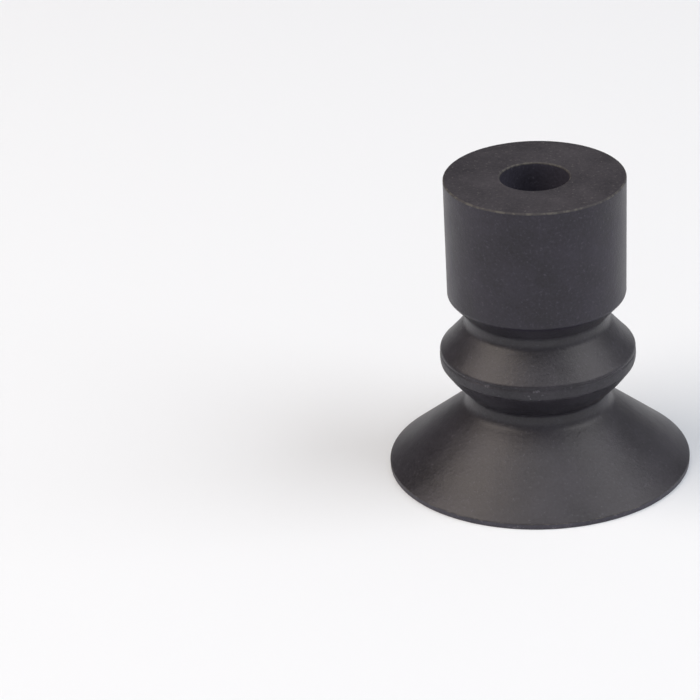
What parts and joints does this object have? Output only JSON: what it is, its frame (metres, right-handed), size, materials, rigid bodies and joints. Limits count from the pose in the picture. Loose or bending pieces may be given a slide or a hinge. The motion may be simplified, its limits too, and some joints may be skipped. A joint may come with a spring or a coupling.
{
  "type": "vacuum suction cup",
  "caption": "Soft rubber bellows suction cup with a thick tubular neck, a hollow fold and a wide tapered sealing lip, for lifting by vacuum.",
  "frame": {"origin": "centre of the sealing plane, where the lip's edge touches the load", "axes": "+Z along the cup's axis, from the sealing lip up to the mounting neck; the cup is turned about Z, and X and Y carry the two tilts"},
  "size_m": [0.03, 0.03, 0.0308],
  "materials": {
    "rubber": "matte moulded"
  },
  "bodies": {
    "neck": {"mounting_neck": "rubber", "upper_waist": "rubber"},
    "bellows_top": {"upper_flank": "rubber"},
    "crest": {"bellows_crest": "rubber", "lower_flank": "rubber"},
    "bellows_bottom": {"lower_waist": "rubber"},
    "cup": {"cup_floor": "rubber", "lip_skirt": "rubber"},
    "lip": {"sealing_lip": "rubber", "sealing_edge": "rubber"}
  },
  "joints": [
    {"name": "upper_tilt", "type": "hinge", "parent": "neck", "child": "bellows_top", "pos_m": [0, 0, 0.01675], "axis": [1, 0, 0], "range_deg": [-6, 6], "stiffness_Nm_per_rad": 0.003, "deforming": ["upper_waist"]},
    {"name": "upper_fold", "type": "slide", "parent": "bellows_top", "child": "crest", "axis": [0, 0, 1], "range_m": [0, 0.0016], "stiffness_N_per_m": 800, "springref_m": -0.0001, "deforming": ["upper_flank"]},
    {"name": "lower_fold", "type": "slide", "parent": "crest", "child": "bellows_bottom", "axis": [0, 0, 1], "range_m": [0, 0.0016], "stiffness_N_per_m": 800, "springref_m": -0.0001, "deforming": ["lower_flank"]},
    {"name": "lower_tilt", "type": "hinge", "parent": "bellows_bottom", "child": "cup", "pos_m": [0, 0, 0.0078], "axis": [0, 1, 0], "range_deg": [-6, 6], "stiffness_Nm_per_rad": 0.003, "deforming": ["lower_waist"]},
    {"name": "lip_flatten", "type": "slide", "parent": "cup", "child": "lip", "axis": [0, 0, 1], "range_m": [0, 0.0018], "stiffness_N_per_m": 500, "springref_m": -0.00016, "deforming": ["sealing_lip"]}
  ],
  "couplings": [
    {"joint": "lower_fold", "follows": "upper_fold", "ratio": 1}
  ]
}
